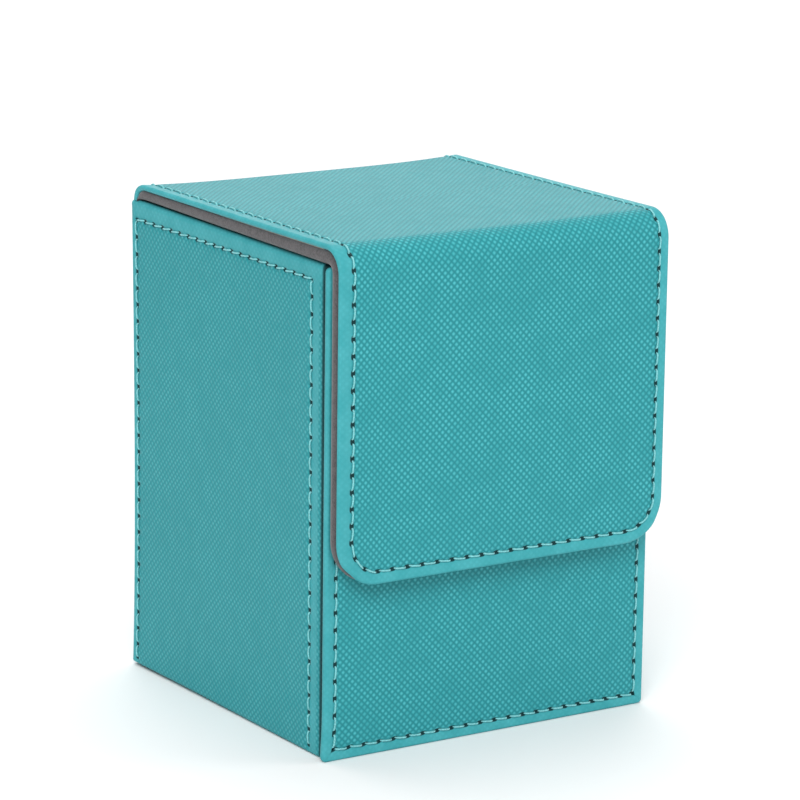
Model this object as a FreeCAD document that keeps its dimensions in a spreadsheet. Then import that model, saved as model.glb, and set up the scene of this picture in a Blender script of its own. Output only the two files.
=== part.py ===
import FreeCAD, Part
import math
import os

# Flip-lid deck box for trading cards. +X is the box's right, -Y its front, +Z up.
# The origin is the middle of the footprint, on the surface the box stands on.
# A stiff tray has a panel on its front. A strap in its back wall comes up as a leather bend
# that carries the lid, and a second bend joins the lid to the front flap. Each bend is a
# strip that creases along both of its edges. Every length is in millimetres.

SIZES = {
    # outside of the box
    "panel_width": 76.0,
    "lid_width": 76.4,
    "box_depth": 75.4,
    "flap_reach": 4.6,
    "wall_top": 97.6,
    "front_top": 97.4,
    "lid_top": 102.0,
    "flap_bottom": 35.7,
    "flap_corner": 9.0,
    # wrapped panels: a thin board inside a turned leather skin
    "panel_thickness": 1.5,
    "panel_skin": 0.5,
    "panel_corner": 1.0,
    # tray: boards under a leather cover, lined inside
    "side_inset": 0.4,
    "cover_skin": 0.8,
    "cover_lip": 0.6,
    "cover_bottom": 0.2,
    "board": 1.6,
    "lining": 0.6,
    "strap": 1.0,
    "front_corner": 2.2,
    "rear_corner": 1.2,
    # padding of the lid and of the flap
    "lid_padding": 2.6,
    "flap_padding": 2.1,
    "fabric": 0.6,
    "lining_inset": 0.2,
    # leather bends
    "rear_bend": 4.5,
    "front_bend": 5.5,
    "bend_skin": 1.0,
    "crease_gap": 0.8,
    # how far a cutting block reaches past the piece it cuts
    "overcut": 1.0,
    # hidden closure magnets
    "magnet_width": 10.0,
    "magnet_spacing": 40.0,
    "magnet_height": 48.0,
    # stitched seams
    "seam_margin": 2.6,
    "side_seam_front": 5.6,
    "side_seam_rear": 2.3,
    "side_seam_top": 3.6,
    "stitch_pitch": 3.5,
    "stitch_gap": 0.7,
    "stitch_width": 0.5,
    "stitch_depth": 0.3,
    "seam_end": 0.5,
}

X, Y, Z = FreeCAD.Vector(1, 0, 0), FreeCAD.Vector(0, 1, 0), FreeCAD.Vector(0, 0, 1)
ACROSS = FreeCAD.Rotation(Y, Z, X, "ZXY")
INWARD = FreeCAD.Rotation(X, -90)

doc = FreeCAD.newDocument("deck_box")
sheet = doc.addObject("Spreadsheet::Sheet", "Sizes")
for row, (alias, number) in enumerate(SIZES.items(), 1):
    sheet.set(f"A{row}", alias)
    sheet.set(f"B{row}", str(number))
    sheet.setAlias(f"B{row}", alias)
doc.recompute()


def cell(alias):
    """One size as a formula."""
    return f"Sizes.{alias}"


def size(alias):
    """One size as a number."""
    return float(sheet.get(alias))


# Planes and half widths that several pieces share, as formulas.
HALF_PANEL = f"({cell('panel_width')} / 2)"
HALF_LID = f"({cell('lid_width')} / 2)"
FRONT = f"(({cell('flap_reach')} - {cell('box_depth')}) / 2)"
BACK = f"(({cell('flap_reach')} + {cell('box_depth')}) / 2)"
FLAP_FACE = f"(-1 * {BACK})"
TRAY_HALF = f"({HALF_PANEL} - {cell('side_inset')})"
TRAY_FRONT = f"({FRONT} + {cell('panel_thickness')})"
TRAY_BACK = BACK
BOARD_HALF = f"({TRAY_HALF} - {cell('cover_skin')})"
BOARD_FRONT = f"({TRAY_FRONT} + {cell('cover_skin')})"
BOARD_BACK = f"({TRAY_BACK} - {cell('cover_skin')})"
BOARD_TOP = f"({cell('wall_top')} - {cell('cover_lip')})"
INNER_HALF = f"({BOARD_HALF} - {cell('board')})"
INNER_FRONT = f"({BOARD_FRONT} + {cell('board')})"
STRAP_INSIDE = f"({BOARD_BACK} - {cell('strap')})"
INNER_BACK = f"({STRAP_INSIDE} - {cell('board')})"
BASE_TOP = f"({cell('cover_skin')} + {cell('board')})"
FLOOR = f"({BASE_TOP} + {cell('lining')})"
LID_UNDER = f"({cell('lid_top')} - {cell('panel_thickness')})"
LINING_UNDER = f"({LID_UNDER} - {cell('lid_padding')})"
FLAP_INSIDE = f"({FLAP_FACE} + {cell('panel_thickness')})"
FLAP_LINING_INSIDE = f"({FLAP_INSIDE} + {cell('flap_padding')})"
HALF_LINING = f"({HALF_LID} - {cell('lining_inset')})"
REAR_Y, REAR_Z = f"({BOARD_BACK} - {cell('rear_bend')})", f"({cell('lid_top')} - {cell('rear_bend')})"
FRONT_Y, FRONT_Z = f"({FLAP_FACE} + {cell('front_bend')})", f"({cell('lid_top')} - {cell('front_bend')})"
LID_REAR, LID_FRONT = f"({REAR_Y} - {cell('crease_gap')})", f"({FRONT_Y} + {cell('crease_gap')})"
FLAP_TOP, BACK_TOP = f"({FRONT_Z} - {cell('crease_gap')})", f"({REAR_Z} - {cell('crease_gap')})"


def minus(formula):
    return f"(-1 * {formula})"


def inset(low, high, alias):
    """The two limits of a span, moved inwards by one size of the sheet."""
    return f"({low} + {cell(alias)})", f"({high} - {cell(alias)})"


# ------------------------------------------------------------ building blocks

def new_body(name):
    return doc.addObject("PartDesign::Body", name)


def place(feature, x, y, z, rotation=None):
    """Bind a feature's position to three formulas, after its fixed rotation is set."""
    if rotation:
        feature.Placement = FreeCAD.Placement(FreeCAD.Vector(), rotation)
    for axis, formula in zip("xyz", (x, y, z)):
        feature.setExpression(f"Placement.Base.{axis}", formula)


def box(body, low, high, kind="Additive"):
    """Add or cut a box between two corners, each given as three formulas."""
    feature = body.newObject(f"PartDesign::{kind}Box", f"{body.Name}_box")
    for side, a, b in zip(("Length", "Width", "Height"), low, high):
        feature.setExpression(side, f"{b} - {a}")
    place(feature, *low)


def cut_box(body, low, high):
    box(body, low, high, "Subtractive")


def rod(body, y, z, radius, half, turn=0, angle=360, kind="Additive"):
    """A cylinder along X about the line at y, z, or the part of one from `turn`, counted from +Y."""
    feature = body.newObject(f"PartDesign::{kind}Cylinder", f"{body.Name}_rod")
    feature.setExpression("Radius", radius)
    feature.setExpression("Height", f"2 * {half}")
    feature.Angle = angle
    place(feature, minus(half), y, z, ACROSS.multiply(FreeCAD.Rotation(Z, turn)))


def disc(body, side, front, back, kind="Additive"):
    """One closure magnet, or its hole, on the side -1 or 1."""
    feature = body.newObject(f"PartDesign::{kind}Cylinder", f"{body.Name}_disc")
    feature.setExpression("Radius", f"{cell('magnet_width')} / 2")
    feature.setExpression("Height", f"{back} - {front}")
    place(feature, f"{side} * {cell('magnet_spacing')} / 2", front, cell("magnet_height"), INWARD)


def fillet(body, radius, wanted):
    """Round the edges of the body so far that `wanted` picks."""
    doc.recompute()
    edges = body.Tip.Shape.Edges
    picked = [f"Edge{n}" for n, edge in enumerate(edges, 1) if wanted(edge)]
    feature = body.newObject("PartDesign::Fillet", f"{body.Name}_fillet")
    feature.Base = (body.Group[-2], picked)
    feature.setExpression("Radius", radius)
    doc.recompute()


def along(edge, axis):
    """Whether an edge is straight and parallel to one axis."""
    start, end = edge.Vertexes[0].Point, edge.Vertexes[-1].Point
    return abs(edge.Length - abs((end - start).dot(axis))) < 1e-6


def plate(name, low, high):
    """A plain sheet: a board or a lining."""
    body = new_body(name)
    box(body, low, high)
    return body


# ------------------------------------------------------------------- the tray

def tray_boards():
    """Two full-depth sides, with the front, the back, the strap and the base between them."""
    bottom = cell("cover_skin")
    for side, low, high in (("left", minus(BOARD_HALF), minus(INNER_HALF)),
                            ("right", INNER_HALF, BOARD_HALF)):
        body = plate(f"{side}_side_board", (low, BOARD_FRONT, bottom), (high, BOARD_BACK, BOARD_TOP))
        round_tray_corners(body, cell("cover_skin"))
        cut_box(body, (low, INNER_BACK, BACK_TOP), (high, BACK, BOARD_TOP))
    half = (minus(INNER_HALF), INNER_HALF)
    front = plate("front_board", (half[0], BOARD_FRONT, bottom), (half[1], INNER_FRONT, BOARD_TOP))
    for side in (-1, 1):
        disc(front, side, BOARD_FRONT, INNER_FRONT, "Subtractive")
    plate("back_board", (half[0], INNER_BACK, bottom), (half[1], STRAP_INSIDE, BACK_TOP))
    plate("hinge_strap", (half[0], STRAP_INSIDE, bottom), (half[1], BOARD_BACK, BACK_TOP))
    plate("base_board", (half[0], INNER_FRONT, bottom), (half[1], INNER_BACK, BASE_TOP))


def round_tray_corners(body, inwards):
    """Round the upright corners of a tray piece that lies `inwards` of the tray's outer face."""
    doc.recompute()
    limits = body.Shape.BoundBox
    reach = max(abs(limits.XMin), abs(limits.XMax))
    for corner, y in (("front_corner", limits.YMin), ("rear_corner", limits.YMax)):
        fillet(body, f"{cell(corner)} - {inwards}",
               lambda edge: along(edge, Z) and abs(edge.CenterOfMass.y - y) < 1e-6
               and abs(abs(edge.CenterOfMass.x) - reach) < 1e-6)


def tray_cover():
    """The tray's leather: round upright corners, a lip over the boards, and room for the bend."""
    bottom, top = cell("cover_bottom"), cell("wall_top")
    whole = plate("tray_block", (minus(TRAY_HALF), TRAY_FRONT, bottom), (TRAY_HALF, TRAY_BACK, top))
    round_tray_corners(whole, "0")
    boards = plate("board_block", (minus(BOARD_HALF), BOARD_FRONT, "0"),
                   (BOARD_HALF, BOARD_BACK, BOARD_TOP))
    round_tray_corners(boards, cell("cover_skin"))
    shell = doc.addObject("Part::Cut", "tray_shell")
    shell.Base, shell.Tool = whole, boards
    mouth = plate("mouth_block", (minus(INNER_HALF), INNER_FRONT, BASE_TOP),
                  (INNER_HALF, INNER_BACK, f"{top} + {cell('overcut')}"))
    step = plate("step_block", (minus(HALF_LID), INNER_BACK, BACK_TOP),
                 (HALF_LID, f"({BACK} + {cell('overcut')})", f"{top} + {cell('overcut')}"))
    cutters = doc.addObject("Part::MultiFuse", "tray_cutters")
    cutters.Shapes = [mouth, step]
    ring = doc.addObject("Part::Cut", "tray_ring")
    ring.Base, ring.Tool = shell, cutters
    covers = []
    for side, low, high in (("left", minus(TRAY_HALF), "0"), ("right", "0", TRAY_HALF)):
        half = plate(f"{side}_half", (low, TRAY_FRONT, bottom), (high, TRAY_BACK, top))
        cover = doc.addObject("Part::Common", f"{side}_blank")
        cover.Base, cover.Tool = ring, half
        covers.append(cover)
    base = plate("bottom_cover", (minus(BOARD_HALF), BOARD_FRONT, "0"),
                 (BOARD_HALF, BOARD_BACK, cell("cover_skin")))
    round_tray_corners(base, cell("cover_skin"))
    return covers


def tray_linings():
    """Microfibre sheets on the five inner faces."""
    top, skin = cell("wall_top"), cell("lining")
    front, back = f"({INNER_FRONT} + {skin})", f"({INNER_BACK} - {skin})"
    half = f"({INNER_HALF} - {skin})"
    plate("base_lining", (minus(INNER_HALF), INNER_FRONT, BASE_TOP), (INNER_HALF, INNER_BACK, FLOOR))
    plate("front_lining", (minus(INNER_HALF), INNER_FRONT, FLOOR), (INNER_HALF, front, top))
    plate("back_lining", (minus(INNER_HALF), back, FLOOR), (INNER_HALF, INNER_BACK, top))
    plate("left_lining", (minus(INNER_HALF), front, FLOOR), (minus(half), back, top))
    plate("right_lining", (half, front, FLOOR), (INNER_HALF, back, top))


# --------------------------------------------------------------- upright panels

def round_lower_corners(body, radius, reach_of=None):
    """Round the body's two lower corners, or the hollow in it that another body fills."""
    doc.recompute()
    limits = (reach_of or body).Shape.BoundBox
    fillet(body, radius,
           lambda edge: along(edge, Y) and abs(edge.CenterOfMass.z - limits.ZMin) < 1e-6
           and abs(abs(edge.CenterOfMass.x) - limits.XMax) < 1e-6)


def upright_panel(name, half, front, back, bottom, top, corner="panel_corner"):
    """A board in a leather cover that is turned over its edges and open on the glued side."""
    cover = plate(f"{name}_cover_blank", (minus(half), front, bottom), (half, back, top))
    skin = cell("panel_skin")
    inner = f"({half} - {skin})"
    low, high = inset(bottom, top, "panel_skin")
    front = f"({front} + {skin})"
    board = plate(f"{name}_board", (minus(inner), front, low), (inner, back, high))
    cut_box(cover, (minus(inner), front, low), (inner, back, high))
    round_lower_corners(cover, f"{cell(corner)} - {skin}", board)
    round_lower_corners(board, f"{cell(corner)} - {skin}")
    round_lower_corners(cover, cell(corner))
    return cover, board


def padding(name, limits, skin_face, corner=None):
    """Foam in a microfibre skin that is open where it is glued. `limits` are its spans along Y and Z."""
    (front, back), (bottom, top) = limits
    skin = cell("fabric")
    lining = plate(f"{name}_lining", (minus(HALF_LINING), front, bottom), (HALF_LINING, back, top))
    inner = f"({HALF_LINING} - {skin})"
    near, far = inset(front, back, "fabric")
    low, high = inset(bottom, top, "fabric")
    if skin_face == "back":
        near = front
    else:
        high = top
    foam = plate(f"{name}_foam", (minus(inner), near, low), (inner, far, high))
    cut_box(lining, (minus(inner), near, low), (inner, far, high))
    if corner:
        round_lower_corners(lining, f"{corner} - {skin}", foam)
        round_lower_corners(foam, f"{corner} - {skin}")
        round_lower_corners(lining, corner)


def magnet_pair(name, front, back):
    """Two loose discs, as one group."""
    discs = []
    for side, word in ((-1, "left"), (1, "right")):
        body = new_body(f"{name}_{word}")
        disc(body, side, front, back)
        discs.append(body)
    group = doc.addObject("Part::Compound", name)
    group.Links = discs


# ----------------------------------------------------------------- the lid side

def lid():
    """The lid's board in its leather cover, open below, over its padding."""
    cover = plate("lid_cover_blank", (minus(HALF_LID), LID_FRONT, LID_UNDER),
                  (HALF_LID, LID_REAR, cell("lid_top")))
    half = f"({HALF_LID} - {cell('panel_skin')})"
    front, back = inset(LID_FRONT, LID_REAR, "panel_skin")
    low, high = (minus(half), front, LID_UNDER), (half, back, f"({cell('lid_top')} - {cell('panel_skin')})")
    plate("lid_board", low, high)
    cut_box(cover, low, high)
    padding("lid", ((LID_FRONT, LID_REAR), (LINING_UNDER, LID_UNDER)), "below")
    return cover


def bend(name, y, z, bend_radius, turn):
    """A leather strip bent a quarter turn, with a round crease along each of its two edges."""
    body = new_body(f"{name}_cover")
    radius, skin = cell(bend_radius), cell("bend_skin")
    rod(body, y, z, radius, HALF_LID, turn, 90)
    rod(body, y, z, f"{radius} - {skin}", HALF_LID, kind="Subtractive")
    middle = f"({radius} - {skin} / 2)"
    ahead = -1 if turn else 1
    for crease_y, crease_z in ((f"({y} + {ahead} * {middle})", z), (y, f"({z} + {middle})")):
        rod(body, crease_y, crease_z, f"{skin} / 2", HALF_LID)


def rear_bend_lining():
    """The lining inside the rear bend, level with the underside of the lid's padding."""
    body = new_body("rear_hinge_lining")
    rod(body, REAR_Y, REAR_Z, f"{cell('rear_bend')} - {cell('bend_skin')}", HALF_LINING, 0, 90)
    cut_box(body, (minus(HALF_LID), REAR_Y, f"({REAR_Z} - {cell('overcut')})"),
            (HALF_LID, BACK, LINING_UNDER))


def front_bend_lining():
    """The lining inside the front bend, rounded over the tray's front edge."""
    body = new_body("front_hinge_lining")
    rod(body, FRONT_Y, FRONT_Z, f"{cell('front_bend')} - {cell('bend_skin')}", HALF_LINING, 90, 90)
    radius = f"({LINING_UNDER} - {FRONT_Z})"
    hollow_y = f"({FLAP_LINING_INSIDE} + {radius})"
    rod(body, hollow_y, FRONT_Z, radius, HALF_LID, kind="Subtractive")
    cut_box(body, (minus(HALF_LID), hollow_y, FRONT_Z),
            (HALF_LID, f"({FRONT_Y} + {cell('overcut')})", LINING_UNDER))


# -------------------------------------------------------------------- the seams

def seam(name, cover, origin, axes, runs, rounding=None):
    """A row of stitches sunk flush in a cover's face, and the cover with their slots.

    The face has its origin and its two in-plane axes; `runs` are lists of points on it.
    """
    stitches = []
    for run in runs:
        path = seam_path(run, rounding)
        count = round(path.Length / size("stitch_pitch"))
        spots = path.discretize(Number=2 * count + 1)
        for start, middle, end in zip(spots[0::2], spots[1::2], spots[2::2]):
            stitches.append(stitch(start, middle, end))
    thread = doc.addObject("Part::Feature", name)
    thread.Shape = Part.makeCompound(stitches)
    thread.Placement = FreeCAD.Placement(origin, FreeCAD.Rotation(*axes, axes[0].cross(axes[1]), "ZXY"))
    slotted = doc.addObject("Part::Cut", name.replace("thread", "cover"))
    slotted.Base, slotted.Tool = cover, thread


def seam_path(corners, rounding):
    """A wire through the corners, each inner corner a right angle rounded to one radius."""
    points = [FreeCAD.Vector(*corner, 0) for corner in corners]
    edges, last = [], points[0]
    if rounding:
        for before, here, after in zip(points, points[1:], points[2:]):
            into, out = (here - before).normalize(), (after - here).normalize()
            start, end = here - into * rounding, here + out * rounding
            centre = here + (out - into) * rounding
            middle = centre - (out - into).normalize() * rounding
            edges += [Part.LineSegment(last, start).toShape(), Part.Arc(start, middle, end).toShape()]
            last = end
        points = [last, points[-1]]
    edges += [Part.LineSegment(a, b).toShape() for a, b in zip(points, points[1:])]
    return Part.Wire(edges)


def stitch(start, middle, end):
    """One stitch: a small bar along the path, just below the face."""
    run = end - start
    length, width, depth = run.Length - size("stitch_gap"), size("stitch_width"), size("stitch_depth")
    bar = Part.makeBox(length, width, depth, FreeCAD.Vector(-length / 2, -width / 2, -depth))
    bar.rotate(FreeCAD.Vector(), Z, math.degrees(math.atan2(run.y, run.x)))
    bar.translate(middle)
    return bar


def arch(left, right, low, high):
    """The three runs of a seam with square corners, open at the bottom or at the top."""
    return [[(left, low), (left, high)], [(left, high), (right, high)], [(right, high), (right, low)]]


def seams(side_blanks, front_cover, lid_cover, flap_cover):
    doc.recompute()
    margin = size("seam_margin")
    for (side, blank), sign in zip(zip(("left", "right"), side_blanks), (-1, 1)):
        face = blank.Shape.BoundBox
        front, rear = face.YMin + size("side_seam_front"), face.YMax - size("side_seam_rear")
        ends = (-rear, -front) if sign < 0 else (front, rear)
        origin = FreeCAD.Vector(face.XMin if sign < 0 else face.XMax, 0, 0)
        runs = arch(*ends, face.ZMin + margin / 2, face.ZMax - size("side_seam_top"))
        seam(f"{side}_side_thread", blank, origin, (Y * sign, Z), runs)
    face = front_cover.Shape.BoundBox
    half = face.XMax - margin
    seam("front_panel_thread", front_cover, Y * face.YMin, (X, Z),
         arch(-half, half, face.ZMax - margin, face.ZMin + margin))
    face = lid_cover.Shape.BoundBox
    half, end = face.XMax - margin, size("seam_end")
    sides = [[(way * half, face.YMin + end), (way * half, face.YMax - end)] for way in (-1, 1)]
    seam("lid_thread", lid_cover, Z * face.ZMax, (X, Y), sides)
    face = flap_cover.Shape.BoundBox
    half, low, high = face.XMax - margin, face.ZMin + margin, face.ZMax - end
    route = [(-half, high), (-half, low), (half, low), (half, high)]
    seam("flap_thread", flap_cover, Y * face.YMin, (X, Z), [route], size("flap_corner") - margin)


# --------------------------------------------------------------------- assembly

side_blanks = tray_cover()
tray_boards()
tray_linings()
front_cover = upright_panel("front_panel", HALF_PANEL, FRONT, TRAY_FRONT, "0", cell("front_top"))[0]
magnet_pair("front_magnets", BOARD_FRONT, INNER_FRONT)
bend("rear_hinge", REAR_Y, REAR_Z, "rear_bend", 0)
rear_bend_lining()
lid_cover = lid()
bend("front_hinge", FRONT_Y, FRONT_Z, "front_bend", 90)
front_bend_lining()
flap_cover, flap_board = upright_panel("flap", HALF_LID, FLAP_FACE, FLAP_INSIDE, cell("flap_bottom"),
                                       FLAP_TOP, "flap_corner")
flap_board_front = f"({FLAP_FACE} + {cell('panel_skin')})"
for side in (-1, 1):
    disc(flap_board, side, flap_board_front, FLAP_INSIDE, "Subtractive")
magnet_pair("flap_magnets", flap_board_front, FLAP_INSIDE)
padding("flap", ((FLAP_INSIDE, FLAP_LINING_INSIDE),
                 (f"({cell('flap_bottom')} + {cell('lining_inset')})", FLAP_TOP)),
        "back", f"{cell('flap_corner')} - {cell('lining_inset')}")
seams(side_blanks, front_cover, lid_cover, flap_cover)
doc.recompute()

NODES = """
    base_board left_side_board right_side_board front_board back_board
    left_side_cover right_side_cover bottom_cover
    base_lining left_lining right_lining front_lining back_lining
    hinge_strap front_panel_board front_panel_cover front_magnets
    left_side_thread right_side_thread front_panel_thread
    rear_hinge_cover rear_hinge_lining lid_board lid_cover lid_foam lid_lining lid_thread
    front_hinge_cover front_hinge_lining
    flap_board flap_cover flap_foam flap_lining flap_magnets flap_thread
""".split()

for item in doc.Objects:
    broken = {"Invalid", "Error"} & set(item.State)
    if broken:
        raise RuntimeError(f"{item.Label} failed: {broken}")
os.makedirs("parts", exist_ok=True)
for node in NODES:
    shape = doc.getObjectsByLabel(node)[0].Shape
    if shape.isNull() or not shape.isValid():
        raise RuntimeError(f"{node} has no valid shape")
    shape.exportStep(f"parts/{node}.step")
    limits = shape.BoundBox
    print(f"{node:22} {len(shape.Solids):3} solids {shape.Volume:9.1f} mm3  "
          f"x {limits.XMin:6.1f} {limits.XMax:6.1f}  y {limits.YMin:6.1f} {limits.YMax:6.1f}  "
          f"z {limits.ZMin:6.1f} {limits.ZMax:6.1f}")
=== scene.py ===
import math

import bmesh
import bpy
import numpy as np
from mathutils import Matrix, Vector


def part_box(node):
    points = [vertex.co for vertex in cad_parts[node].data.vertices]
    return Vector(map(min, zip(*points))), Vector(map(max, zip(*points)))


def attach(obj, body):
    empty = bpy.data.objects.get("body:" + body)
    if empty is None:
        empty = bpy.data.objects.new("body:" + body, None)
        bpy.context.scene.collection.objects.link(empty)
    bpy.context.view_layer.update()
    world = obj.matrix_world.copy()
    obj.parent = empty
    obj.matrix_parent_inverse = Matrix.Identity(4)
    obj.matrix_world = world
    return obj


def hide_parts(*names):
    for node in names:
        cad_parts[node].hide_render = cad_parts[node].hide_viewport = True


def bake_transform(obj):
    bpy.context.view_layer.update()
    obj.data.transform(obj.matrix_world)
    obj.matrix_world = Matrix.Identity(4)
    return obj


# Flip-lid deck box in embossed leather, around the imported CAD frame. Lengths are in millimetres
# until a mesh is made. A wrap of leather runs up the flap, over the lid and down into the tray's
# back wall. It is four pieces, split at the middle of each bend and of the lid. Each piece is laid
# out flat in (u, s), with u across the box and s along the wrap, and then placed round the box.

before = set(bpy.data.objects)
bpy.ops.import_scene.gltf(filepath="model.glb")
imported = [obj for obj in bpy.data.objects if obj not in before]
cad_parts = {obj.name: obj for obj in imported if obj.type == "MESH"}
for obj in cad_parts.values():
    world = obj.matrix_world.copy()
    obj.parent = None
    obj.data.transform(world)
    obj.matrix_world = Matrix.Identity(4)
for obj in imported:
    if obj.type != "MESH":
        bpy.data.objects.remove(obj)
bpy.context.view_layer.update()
MM = 0.001


def limits(node):
    """A node's box in millimetres, as two lists."""
    low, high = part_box(node)
    return [v / MM for v in low], [v / MM for v in high]


# ------------------------------------------------------------ sizes from the frame

FLAP_LOW, FLAP_HIGH = limits("flap_cover")
PANEL_LOW, PANEL_HIGH = limits("front_panel_cover")
SIDE_LOW, SIDE_HIGH = limits("left_side_cover")
PAD_LOW, PAD_HIGH = limits("lid_lining")

HALF = FLAP_HIGH[0]
FACE_Y, BACK_Y, LID_Z = FLAP_LOW[1], limits("hinge_strap")[1][1], limits("lid_cover")[1][2]
FRONT_BEND, REAR_BEND = 5.5, 4.5    # outer radii
SKIN = 1.15                         # leather and board together
FRONT_Y, FRONT_Z = FACE_Y + FRONT_BEND, LID_Z - FRONT_BEND
REAR_Y, REAR_Z = BACK_Y - REAR_BEND, LID_Z - REAR_BEND

# Lengths along the wrap, counted from the flap's lower edge.
FRONT_START = FRONT_Z - FLAP_LOW[2]
FRONT_END = FRONT_START + FRONT_BEND * math.pi / 2
REAR_START = FRONT_END + REAR_Y - FRONT_Y
REAR_END = REAR_START + REAR_BEND * math.pi / 2
WRAP_END = REAR_END + 1.3
SPLITS = ((FRONT_START + FRONT_END) / 2, (FRONT_END + REAR_START) / 2, (REAR_START + REAR_END) / 2)

SEAM = 2.6            # from a sheet's edge to its row of stitches
REACH = 9.5           # from its edge to where the plain grid of points begins
FLAP_CORNER = 9.0
RIM_RISE = 0.8        # how far the side walls' rim climbs to the back

PITCH = 3.4
STITCH_STEPS = np.array([0, 0.11, 0.3, 0.5, 0.7, 0.89])    # where the points lie along a stitch
PER_STITCH = len(STITCH_STEPS)
BESIDE_HOLE = 0.85    # how far the points beside a needle hole lie in it
HOLE_DEPTH, HOLE_WIDTH = 0.3, 0.42
THREAD_RADIUS = 0.17
THREAD_LEAN = 0.3
THREAD_STEPS = np.array([0.14, 0.17, 0.21, 0.28, 0.38, 0.5, 0.62, 0.72, 0.79, 0.83, 0.86])
THREAD_HEIGHTS = np.array([-0.38, -0.2, -0.05, 0.03, 0.06, 0.07, 0.06, 0.03, -0.05, -0.2, -0.38])


# ---------------------------------------------------------------- laying out sheets

def stitched(length):
    """Fractions along a run: six samples a stitch, closest together at the needle holes."""
    count = max(1, round(length / PITCH))
    steps = (np.arange(count)[:, None] + STITCH_STEPS[None]).ravel()
    return np.append(steps, count) / count


def hole_marks(count):
    """For the points of a stitched run: 1 at each needle hole, and part of that beside it."""
    marks = np.zeros(count)
    for offset, depth in ((1, BESIDE_HOLE), (PER_STITCH - 1, BESIDE_HOLE), (0, 1)):
        marks[offset::PER_STITCH] = depth
    return marks


class Outline:
    """A flat sheet's edge and the lines parallel to it.

    The sheet runs from s = 0 to s = length. `low` and `high` say which of these ends has an edge:
    at the other it goes on in the next sheet. `columns` and `rows` are fractions.
    """

    def __init__(self, half, length, corner, low=True, high=False, columns=None, rows=None,
                 seam=SEAM):
        self.half, self.length, self.corner = half, length, corner
        self.low, self.high, self.seam = low, high, seam
        start = max(corner, seam) if low else 0
        end = length - max(corner, seam) if high else length
        fractions = stitched(end - start) if rows is None else rows
        self.rows = start + fractions * (end - start)
        across = 2 * (half - max(corner, seam))
        self.columns = stitched(across) if columns is None else columns
        bow = (corner - seam) * math.pi / 2
        self.bow = stitched(bow) if bow > PITCH / 2 else np.linspace(0, 1, 6)

    def row_places(self, inset):
        """Where the rows are on the line at this inset: they shift only near a closed end."""
        places = self.rows.copy()
        fixed = REACH + 3
        seam, here = max(self.corner, self.seam), max(self.corner, inset)
        if self.low:
            close = places < fixed
            places[close] = here + (places[close] - seam) * (fixed - here) / (fixed - seam)
        if self.high:
            close = places > self.length - fixed
            back = self.length - places[close]
            places[close] = self.length - here - (back - seam) * (fixed - here) / (fixed - seam)
        return places

    def runs(self, inset):
        """The unbroken runs of points on the line at this inset, and whether the line closes."""
        rows, low_z = self.row_places(inset), max(self.corner, inset)
        radius = max(self.corner - inset, 0)
        edge, middle = self.half - inset, self.half - low_z
        left = np.stack([np.full(len(rows), -edge), rows], 1)[::-1]
        right = np.stack([np.full(len(rows), edge), rows], 1)
        if not self.low:
            return [left, right], False
        across = -middle + self.columns * 2 * middle
        angles = self.bow[1:-1] * math.pi / 2

        def arc(x, z, start):
            turn = start + angles
            return np.stack([x + radius * np.cos(turn), z + radius * np.sin(turn)], 1)

        bottom = np.stack([across, np.full(len(across), inset)], 1)
        line = [left, arc(-middle, low_z, math.pi), bottom, arc(middle, low_z, 1.5 * math.pi),
                right]
        if self.high:
            top = np.stack([across[::-1], np.full(len(across), self.length - inset)], 1)
            high_z = self.length - low_z
            line += [arc(middle, high_z, 0), top, arc(-middle, high_z, math.pi / 2)]
        return [np.concatenate(line)], self.high

    def holes(self):
        """How far each point of each run lies in a needle hole. The high end has no stitches."""
        rows = hole_marks(len(self.rows))
        if not self.low:
            return [rows[::-1], rows]
        bow = np.zeros(len(self.bow))
        if self.corner > self.seam:
            bow = hole_marks(len(self.bow))
        line = [rows[::-1], bow[1:-1], hole_marks(len(self.columns)), bow[1:-1], rows]
        if self.high:
            line.append(np.zeros(len(self.columns) + 2 * (len(self.bow) - 2)))
        return [np.concatenate(line)]

    def seam_runs(self):
        """The seam's own points, one list per run, up to its last needle hole."""
        runs, _ = self.runs(self.seam)
        found = []
        for run, mark in zip(runs, self.holes()):
            last = np.nonzero(mark == 1)[0][-1]
            kept = run[:last + 1]
            apart = np.linalg.norm(np.diff(kept, axis=0), axis=1) > 1e-6
            found.append(kept[np.append(True, apart)])
        return found

    def grid(self, inset):
        """The field inside the line at this inset, as rows by columns of points."""
        rows = self.row_places(inset)
        middle = self.half - max(self.corner, inset)
        across = -middle + self.columns * 2 * middle
        return np.stack(np.meshgrid(across, rows), 2)


def warped(points, left, right):
    """Put the seams at these distances from the left and right edges, and leave the edges."""
    if not left:
        return points
    beyond = 20
    out = points.copy()
    for sign, wanted in ((-1, left), (1, right)):
        side = out[:, 0] * sign > 0
        inward = HALF - out[side, 0] * sign
        moved = np.interp(inward, [-beyond, 0, 1.0, SEAM, REACH + 1, HALF],
                          [-beyond, 0, 1.0, wanted, REACH + 1, HALF])
        out[side, 0] = sign * (HALF - moved)
    return out


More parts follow.
